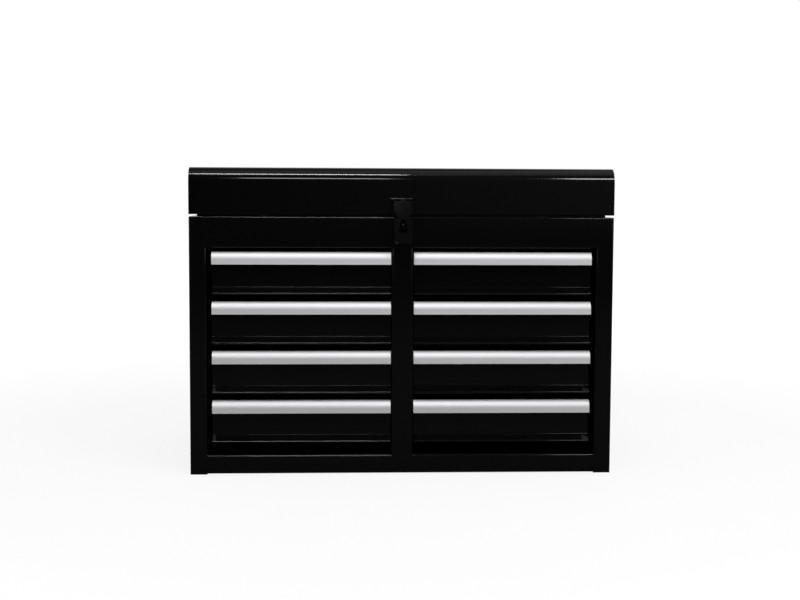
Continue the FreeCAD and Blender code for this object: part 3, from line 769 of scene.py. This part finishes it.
@dataclass
class LidStays(SubAssembly):
    """Two folding stays with peened pins."""

    head_radius: float = 4.6 * MM
    head_height: float = 1.3 * MM
    overlap: float = 0.7

    def build(self) -> None:
        """Dresses the arms and adds the heads of their pins."""
        arms = [f"{side.name.lower()}_stay_{arm}" for side in Side for arm in ("lower", "upper")]
        self.dress(arms + ["body_stay_studs", "lid_stay_studs"], self.finishes.zinc)
        elbows = {
            joint["name"]: joint["pos_m"][1:] for joint in self.frame["joints"] if "elbow" in joint["name"]
        }
        for side in Side:
            name = side.name.lower()
            for part, body in (("body", "cabinet"), ("lid", "lid")):
                studs = f"{part}_stay_studs"
                low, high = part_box(studs)
                middle = ((low[1] + high[1]) / 2, (low[2] + high[2]) / 2)
                self.head(side, f"{name}_{part}_stud_head", body, studs, middle)
            lower = f"{name}_stay_lower"
            self.head(side, f"{name}_elbow_pin_head", lower, lower, elbows[f"{name}_stay_elbow"])

    def head(self, side: Side, name: str, body: str, pin: str, middle: Span) -> None:
        """Adds the peened head at the inner end of a pin.

        Args:
            side: The side of the chest.
            name: Name of the piece.
            body: The body that the pin is on.
            pin: The pin's node.
            middle: The pin's y and z.
        """
        inner = min(abs(corner.co.x) for corner in self.frame["nodes"][pin].data.vertices)
        seat = Vector((side.value * (inner + self.head_height * self.overlap), *middle))
        inward = Vector((-side.value, 0.0, 0.0))
        heads = RivetHeads(name, body, [seat], inward, self.head_radius, self.head_height)
        heads.build(self.finishes.zinc, "zinc_plate")


@dataclass
class SideHandle(SubAssembly):
    """Drop handle on one side: a plate with two curled ears and a bar bent into a U."""

    side: Side
    plate_sheet: float = 1.2 * MM
    rivet_place: float = 25.0 * MM
    rivet_inset: float = 7.0 * MM
    rivet_radius: float = 3.2 * MM
    rivet_height: float = 0.9 * MM
    # half the distance between the bar's two ends
    stub_reach: float = 36.5 * MM
    ear_bend: float = 5.0 * MM
    grip_bend: float = 11.0 * MM
    bar_segments: int = 24
    bend_steps: int = 8
    merge_within: float = 0.001 * MM

    def build(self) -> None:
        """Dresses the plate, adds its rivets and bends the bar."""
        name = self.side.name.lower()
        self.dress([f"{name}_handle_plate"], self.finishes.paint)
        self.rivets(f"{name}_handle_plate")
        self.bar(f"{name}_bail")

    def rivets(self, plate: str) -> None:
        """Adds four rivets to the plate, between its ears.

        Args:
            plate: The plate's node.
        """
        low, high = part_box(plate)
        face = self.side.value * (min(abs(low[0]), abs(high[0])) + self.plate_sheet)
        middle = (low[1] + high[1]) / 2
        places = [
            Vector((face, middle + end * self.rivet_place, height))
            for end in (-1, 1) for height in (low[2] + self.rivet_inset, high[2] - self.rivet_inset)
        ]
        outward = Vector((self.side.value, 0.0, 0.0))
        heads = RivetHeads(
            f"{plate}_rivets", "cabinet", places, outward, self.rivet_radius, self.rivet_height
        )
        heads.build(self.finishes.paint, "black_paint")

    def bar(self, bail: str) -> None:
        """Bends the bar with round corners in place of the mitred solid.

        Args:
            bail: The bar's node, which is also its body.
        """
        low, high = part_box(bail)
        radius = (high[0] - low[0]) / 2
        x = (low[0] + high[0]) / 2
        pivot, grip = high[2] - radius, low[2] + radius
        near, far = low[1] + radius, high[1] - radius
        middle = (near + far) / 2
        here = Vector((x, middle - self.stub_reach, pivot))
        end = Vector((x, middle + self.stub_reach, pivot))
        corners = [
            (Vector((x, near, pivot)), self.ear_bend),
            (Vector((x, near, grip)), self.grip_bend),
            (Vector((x, far, grip)), self.grip_bend),
            (Vector((x, far, pivot)), self.ear_bend),
        ]
        mesh = bmesh.new()
        facing = Matrix.Translation(here) @ Matrix.Rotation(QUARTER_TURN, 4, "X")
        bmesh.ops.create_circle(
            mesh, cap_ends=True, radius=radius, segments=self.bar_segments, matrix=facing
        )
        ring = list(mesh.edges)
        targets = [corner for corner, _ in corners[1:]] + [end]
        for (corner, bend), target in zip(corners, targets):
            arrive = (corner - here).normalized()
            leave = (target - corner).normalized()
            ring = self.straight(mesh, ring, corner - arrive * bend - here)
            turned = bmesh.ops.spin(
                mesh, geom=ring, cent=corner - arrive * bend + leave * bend, axis=arrive.cross(leave),
                angle=QUARTER_TURN, steps=self.bend_steps, use_merge=False, use_duplicate=False,
            )
            ring = [item for item in turned["geom_last"] if isinstance(item, bmesh.types.BMEdge)]
            here = corner + leave * bend
        ring = self.straight(mesh, ring, end - here)
        bmesh.ops.contextual_create(mesh, geom=ring)
        bmesh.ops.remove_doubles(mesh, verts=list(mesh.verts), dist=self.merge_within)
        bmesh.ops.recalc_face_normals(mesh, faces=list(mesh.faces))
        piece = new_piece(f"{bail}_bar", mesh, self.finishes.bright, bail)
        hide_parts(bail)

    @staticmethod
    def straight(mesh: bmesh.types.BMesh, ring: list[bmesh.types.BMEdge],
                 run: Vector) -> list[bmesh.types.BMEdge]:
        """Carries the bar on in a straight line.

        Args:
            mesh: The bar so far.
            ring: The edges of its open end.
            run: Direction and length of the line.

        Returns:
            The edges of the new end.
        """
        grown = bmesh.ops.extrude_edge_only(mesh, edges=ring)["geom"]
        moved = [item for item in grown if isinstance(item, bmesh.types.BMVert)]
        bmesh.ops.translate(mesh, verts=moved, vec=run)
        return [
            item for item in grown
            if isinstance(item, bmesh.types.BMEdge) and len(item.link_faces) == 1
        ]


@dataclass
class Drawers(SubAssembly):
    """Eight drawers, each a tray with a painted front and an aluminium pull."""

    rows: int = 4

    def build(self) -> None:
        """Dresses every drawer."""
        for side in Side:
            for row in range(1, self.rows + 1):
                drawer = f"{side.name.lower()}_drawer_{row}"
                self.dress([f"{drawer}_tray", f"{drawer}_front"], self.finishes.paint)
                self.dress([f"{drawer}_pull"], self.finishes.aluminium)


# Studio


@dataclass(frozen=True)
class SoftBox:
    """A rectangular studio lamp that faces the chest."""

    name: str
    place: Place
    size: Span
    radiance: float
    aim: Place = (0.0, 0.0, 0.3)
    gives: Lighting = Lighting.ALL

    def build(self) -> None:
        """Adds the lamp, with its power worked out from its radiance and area."""
        light = bpy.data.lights.new(self.name, "AREA")
        light.shape = "RECTANGLE"
        light.size, light.size_y = self.size
        light.energy = self.radiance * math.pi * self.size[0] * self.size[1]
        lamp = bpy.data.objects.new(self.name, light)
        lamp.location = self.place
        lamp.visible_diffuse, lamp.visible_glossy = self.gives.value
        lamp.rotation_mode = "QUATERNION"
        lamp.rotation_quaternion = (Vector(self.aim) - Vector(self.place)).to_track_quat("-Z", "Y")
        bpy.context.scene.collection.objects.link(lamp)


@dataclass
class Studio:
    """Floor, lamps, background and camera."""

    # the photograph's camera
    camera_place: Place = (-0.10124, -2.15485, 0.42843)
    turn: float = math.radians(-2.7955)
    tilt: float = math.radians(4.9312)
    roll: float = math.radians(0.2806)
    lens_pixels: float = 1384.33
    image_width: int = 800
    sensor: float = 36.0
    view_depth: float = 100.0
    # the floor, which is lifted to white for the camera alone, a little less near the chest, which paints a
    # soft shade around it over its cast shadow
    floor_reach: float = 12.0
    floor_colour: Colour = (0.12, 0.12, 0.12)
    floor_roughness: float = 0.9
    shadow_lift: float = 0.84
    shadow_reach: Span = (0.7, 2.2)
    # the room, as soft light and as the chest mirrors it
    room_level: float = 0.35
    mirrored_front: Span = (0.015, 0.22)
    front_reach: Span = (-0.12, 0.2)
    mirrored_back: float = 0.9
    back_reach: Span = (-0.6, 0.4)
    mirrored_overhead: float = 0.15
    overhead_reach: Span = (0.35, 0.75)
    # the three strips aim at the lid's rounded front edge
    lamps: tuple[SoftBox, ...] = (
        SoftBox("top box", (0.15, -0.25, 2.3), (2.2, 1.4), 0.75),
        SoftBox("front fill", (0.5, -1.5, 2.2), (2.4, 1.2), 3.4, gives=Lighting.FILL),
        SoftBox("left box", (-1.8, -1.8, 0.7), (1.7, 1.1), 1.6),
        SoftBox("right box", (1.9, -1.8, 0.7), (1.9, 1.1), 2.3),
        SoftBox(
            "upper strip", (-0.2, -0.89, 2.2), (0.6, 0.1), 92.0, aim=(-0.15, -0.155, 0.44),
            gives=Lighting.HIGHLIGHTS,
        ),
        SoftBox(
            "lower strip", (-0.15, -1.81, 1.54), (0.42, 0.16), 27.0, aim=(-0.12, -0.155, 0.44),
            gives=Lighting.HIGHLIGHTS,
        ),
        SoftBox(
            "right strip", (0.78, -1.66, 1.74), (0.42, 0.26), 36.0, aim=(0.27, -0.155, 0.44),
            gives=Lighting.HIGHLIGHTS,
        ),
    )

    def build(self) -> None:
        """Builds the whole studio."""
        self.floor()
        for lamp in self.lamps:
            lamp.build()
        self.background()
        self.camera()
        bpy.context.scene.view_settings.view_transform = "Standard"

    def floor(self) -> None:
        """Lays a grey floor that the camera sees as white, with the chest's cast shadow on it and a painted
        shade around the chest.
        """
        mesh = bmesh.new()
        bmesh.ops.create_grid(mesh, x_segments=1, y_segments=1, size=self.floor_reach)
        data = bpy.data.meshes.new("floor")
        mesh.to_mesh(data)
        mesh.free()
        ground = bpy.data.objects.new("floor", data)
        bpy.context.scene.collection.objects.link(ground)
        material, shader, place = new_material("pale floor")
        tree = material.node_tree
        distance = add_node(tree, "ShaderNodeVectorMath", operation="LENGTH")
        feed(tree, distance.inputs[0], place)
        # a lower lift near the chest paints a soft shade around it
        lift = graded(tree, distance.outputs["Value"], self.shadow_reach, (self.shadow_lift, 1.0))
        to_camera = add_node(tree, "ShaderNodeLightPath").outputs["Is Camera Ray"]
        set_up(
            tree, shader, Base_Color=self.floor_colour, Roughness=self.floor_roughness,
            Emission_Color=WHITE, Emission_Strength=graded(tree, to_camera, NO_YES, (0.0, lift)),
        )
        data.materials.append(material)

    def background(self) -> None:
        """Makes a world that is white to the camera and through glass, and plain to soft light.

        Reflections see a room that is pale low at the sides and back and dim overhead. In front it is
        dim too and brightens from left to right, as it does in the photograph's paint.
        """
        world = bpy.data.worlds.new("studio")
        bpy.context.scene.world = world
        world.use_nodes = True
        tree = world.node_tree
        path = add_node(tree, "ShaderNodeLightPath").outputs
        toward = along_axes(tree, add_node(tree, "ShaderNodeTexCoord").outputs["Generated"])
        front = graded(tree, toward["X"], self.front_reach, self.mirrored_front)
        back = graded(
            tree, toward["Z"], self.overhead_reach, (self.mirrored_back, self.mirrored_overhead)
        )
        mirrored = graded(tree, toward["Y"], self.back_reach, (front, back))
        room = graded(tree, path["Is Glossy Ray"], NO_YES, (self.room_level, mirrored))
        shown = combined(tree, "MAXIMUM", path["Is Camera Ray"], path["Is Transmission Ray"])
        level = graded(tree, shown, NO_YES, (room, 1.0))
        set_up(tree, tree.nodes["Background"], Color=WHITE, Strength=level)

    def camera(self) -> None:
        """Places the camera where the photograph was taken."""
        ahead = Vector((-math.sin(self.turn), math.cos(self.turn), 0.0))
        level = Vector((math.cos(self.turn), math.sin(self.turn), 0.0))
        upright = ahead * math.sin(self.tilt) + Vector((0.0, 0.0, math.cos(self.tilt)))
        view = ahead * math.cos(self.tilt) - Vector((0.0, 0.0, math.sin(self.tilt)))
        right = level * math.cos(self.roll) + upright * math.sin(self.roll)
        up = upright * math.cos(self.roll) - level * math.sin(self.roll)
        data = bpy.data.cameras.new("photo view")
        data.sensor_width = self.sensor
        data.lens = self.lens_pixels * self.sensor / self.image_width
        data.clip_end = self.view_depth
        camera = bpy.data.objects.new("photo view", data)
        axes = Matrix((right, up, -view)).transposed()
        camera.matrix_world = Matrix.Translation(self.camera_place) @ axes.to_4x4()
        bpy.context.scene.collection.objects.link(camera)
        bpy.context.scene.camera = camera


def main() -> None:
    """Builds the chest and its studio."""
    logging.basicConfig(level=logging.INFO, format="%(name)s: %(message)s")
    bpy.ops.wm.read_factory_settings(use_empty=True)
    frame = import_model()
    finishes = Finishes(Effects())
    for assembly in (Cabinet, Lid, Hinges, Hasp, LidStays, Drawers):
        assembly(frame, finishes).build()
    for side in Side:
        SideHandle(frame, finishes, side).build()
    Studio().build()


if __name__ == "__main__":
    main()
